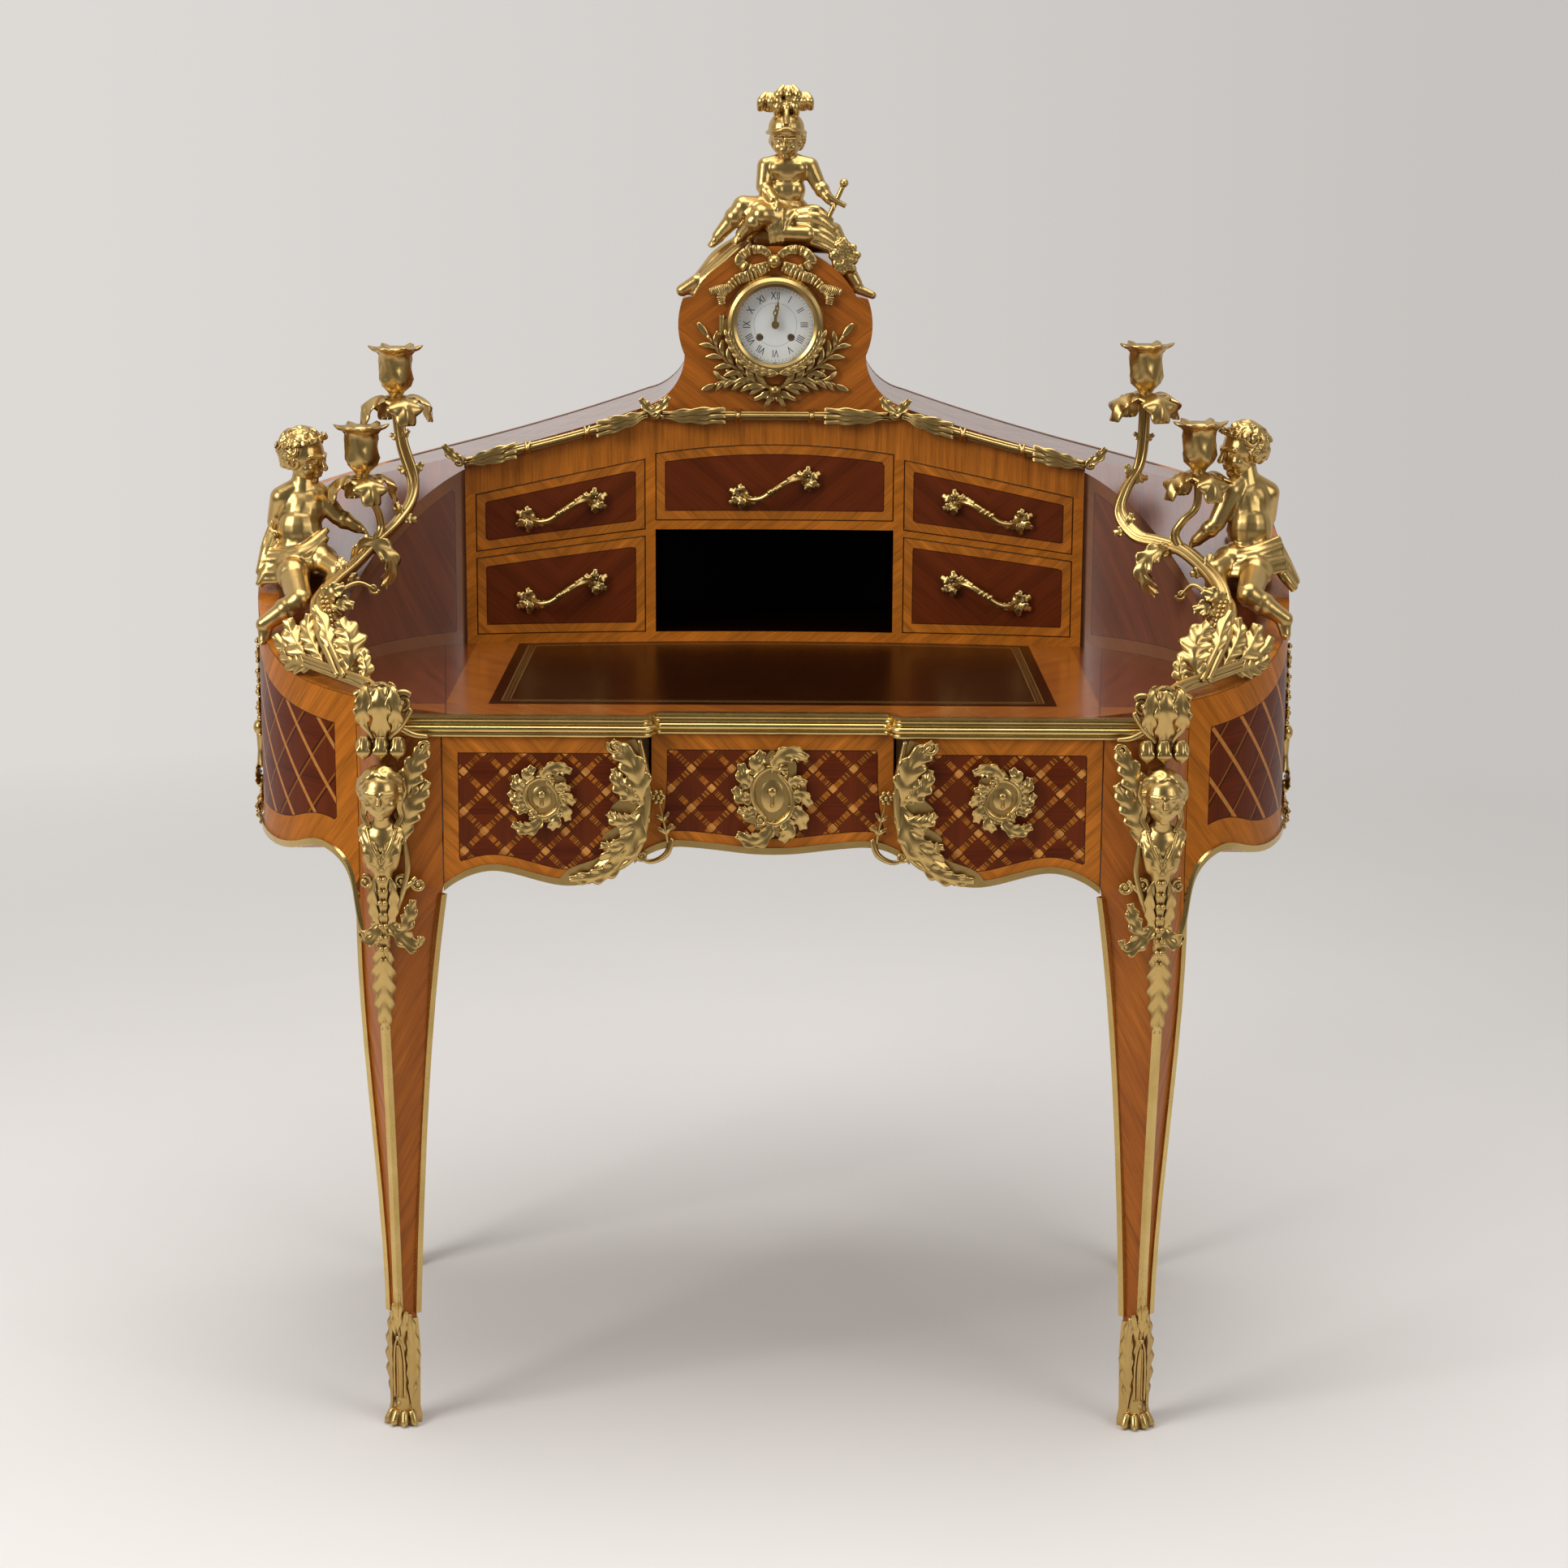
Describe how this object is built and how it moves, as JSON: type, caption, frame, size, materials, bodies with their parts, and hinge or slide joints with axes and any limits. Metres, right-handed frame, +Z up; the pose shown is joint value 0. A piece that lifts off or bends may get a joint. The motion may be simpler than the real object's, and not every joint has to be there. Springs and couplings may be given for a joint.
{
  "type": "bonheur du jour writing desk",
  "caption": "Lady's writing desk with a horseshoe plan, curved arms, a gallery of small drawers under a clock, frieze drawers and gilt bronze mounts on tapering legs.",
  "frame": {"origin": "on the floor under the middle of the desk", "axes": "+Z up, +Y to the back, +X to the viewer's right; the drawers open to -Y"},
  "size_m": [1.146, 0.7356, 1.391],
  "materials": {
    "veneered_wood": "polished veneer",
    "oak": "plain wood",
    "gilt_bronze": "gilt, part matt and part burnished",
    "movement_brass": "brushed",
    "steel": "brushed",
    "leather": "polished, tooled border",
    "enamel": "white enamel",
    "glass": "clear"
  },
  "bodies": {
    "carcass": {"leg_front_left": "veneered_wood", "leg_front_right": "veneered_wood", "leg_rear_left": "veneered_wood", "leg_rear_right": "veneered_wood", "side_wall_left": "veneered_wood", "side_wall_right": "veneered_wood", "back_wall": "veneered_wood", "writing_top": "veneered_wood", "arm_left": "veneered_wood", "arm_right": "veneered_wood", "gallery_boards": "veneered_wood", "gallery_front_panel": "veneered_wood", "gallery_hood": "veneered_wood", "clock_front": "veneered_wood", "frieze_partitions": "oak", "drawer_runners": "oak", "sabots": "gilt_bronze", "top_moulding": "gilt_bronze", "edge_fillets": "gilt_bronze", "cornice_mounts": "gilt_bronze", "clock_mounts": "gilt_bronze", "clock_figure": "gilt_bronze", "candelabrum_left": "gilt_bronze", "candelabrum_right": "gilt_bronze", "candle_sockets": "gilt_bronze", "cherub_left": "gilt_bronze", "cherub_right": "gilt_bronze", "arm_mounts": "gilt_bronze", "corner_mounts": "gilt_bronze", "side_mounts": "gilt_bronze", "leather_panel": "leather", "clock_movement": "movement_brass", "dial": "enamel"},
    "frieze_drawer_left_body": {"frieze_drawer_left": "veneered_wood", "frieze_fittings_left": "gilt_bronze"},
    "lock_bolt_left_body": {"lock_bolt_left": "steel"},
    "frieze_drawer_middle_body": {"frieze_drawer_middle": "veneered_wood", "frieze_fittings_middle": "gilt_bronze"},
    "lock_bolt_middle_body": {"lock_bolt_middle": "steel"},
    "frieze_drawer_right_body": {"frieze_drawer_right": "veneered_wood", "frieze_fittings_right": "gilt_bronze"},
    "lock_bolt_right_body": {"lock_bolt_right": "steel"},
    "gallery_drawer_upper_left_body": {"gallery_drawer_upper_left": "veneered_wood", "gallery_handle_upper_left": "gilt_bronze"},
    "gallery_drawer_lower_left_body": {"gallery_drawer_lower_left": "veneered_wood", "gallery_handle_lower_left": "gilt_bronze"},
    "gallery_drawer_middle_body": {"gallery_drawer_middle": "veneered_wood", "gallery_handle_middle": "gilt_bronze"},
    "gallery_drawer_upper_right_body": {"gallery_drawer_upper_right": "veneered_wood", "gallery_handle_upper_right": "gilt_bronze"},
    "gallery_drawer_lower_right_body": {"gallery_drawer_lower_right": "veneered_wood", "gallery_handle_lower_right": "gilt_bronze"},
    "bezel_body": {"clock_bezel": "gilt_bronze", "bezel_glass": "glass"},
    "minute_hand_body": {"minute_hand": "gilt_bronze"},
    "hour_hand_body": {"hour_hand": "gilt_bronze"},
    "winding_arbor_left_body": {"winding_arbor_left": "steel"},
    "winding_arbor_right_body": {"winding_arbor_right": "steel"},
    "clock_back_door_body": {"clock_back_door": "gilt_bronze"},
    "pendulum_body": {"pendulum": "movement_brass"}
  },
  "joints": [
    {"name": "frieze_drawer_left_slide", "type": "slide", "parent": "carcass", "child": "frieze_drawer_left_body", "axis": [0, -1, 0], "range_m": [0, 0.3]},
    {"name": "lock_bolt_left_slide", "type": "slide", "parent": "frieze_drawer_left_body", "child": "lock_bolt_left_body", "axis": [0, 0, 1], "range_m": [0, 0.012]},
    {"name": "frieze_drawer_middle_slide", "type": "slide", "parent": "carcass", "child": "frieze_drawer_middle_body", "axis": [0, -1, 0], "range_m": [0, 0.3]},
    {"name": "lock_bolt_middle_slide", "type": "slide", "parent": "frieze_drawer_middle_body", "child": "lock_bolt_middle_body", "axis": [0, 0, 1], "range_m": [0, 0.012]},
    {"name": "frieze_drawer_right_slide", "type": "slide", "parent": "carcass", "child": "frieze_drawer_right_body", "axis": [0, -1, 0], "range_m": [0, 0.3]},
    {"name": "lock_bolt_right_slide", "type": "slide", "parent": "frieze_drawer_right_body", "child": "lock_bolt_right_body", "axis": [0, 0, 1], "range_m": [0, 0.012]},
    {"name": "gallery_drawer_upper_left_slide", "type": "slide", "parent": "carcass", "child": "gallery_drawer_upper_left_body", "axis": [0, -1, 0], "range_m": [0, 0.13]},
    {"name": "gallery_drawer_lower_left_slide", "type": "slide", "parent": "carcass", "child": "gallery_drawer_lower_left_body", "axis": [0, -1, 0], "range_m": [0, 0.13]},
    {"name": "gallery_drawer_middle_slide", "type": "slide", "parent": "carcass", "child": "gallery_drawer_middle_body", "axis": [0, -1, 0], "range_m": [0, 0.13]},
    {"name": "gallery_drawer_upper_right_slide", "type": "slide", "parent": "carcass", "child": "gallery_drawer_upper_right_body", "axis": [0, -1, 0], "range_m": [0, 0.13]},
    {"name": "gallery_drawer_lower_right_slide", "type": "slide", "parent": "carcass", "child": "gallery_drawer_lower_right_body", "axis": [0, -1, 0], "range_m": [0, 0.13]},
    {"name": "bezel_hinge", "type": "hinge", "parent": "carcass", "child": "bezel_body", "pos_m": [-0.0597, 0.0966, 1.132], "axis": [0, 0, -1], "range_deg": [0, 110]},
    {"name": "minute_hand_turn", "type": "hinge", "parent": "carcass", "child": "minute_hand_body", "pos_m": [0, 0.10515, 1.132], "axis": [0, 1, 0], "continuous": true},
    {"name": "hour_hand_turn", "type": "hinge", "parent": "carcass", "child": "hour_hand_body", "pos_m": [0, 0.10515, 1.132], "axis": [0, 1, 0], "continuous": true},
    {"name": "winding_arbor_left_turn", "type": "hinge", "parent": "carcass", "child": "winding_arbor_left_body", "pos_m": [-0.0175, 0.10515, 1.118], "axis": [0, 1, 0], "continuous": true},
    {"name": "winding_arbor_right_turn", "type": "hinge", "parent": "carcass", "child": "winding_arbor_right_body", "pos_m": [0.0175, 0.10515, 1.118], "axis": [0, 1, 0], "continuous": true},
    {"name": "clock_back_door_hinge", "type": "hinge", "parent": "carcass", "child": "clock_back_door_body", "pos_m": [-0.0602, 0.36465, 1.132], "axis": [0, 0, 1], "range_deg": [0, 110]},
    {"name": "pendulum_swing", "type": "hinge", "parent": "carcass", "child": "pendulum_body", "pos_m": [0, 0.20215, 1.162], "axis": [0, 1, 0], "range_deg": [-4, 4]}
  ],
  "couplings": [
    {"joint": "hour_hand_turn", "follows": "minute_hand_turn", "ratio": 0.083333}
  ]
}
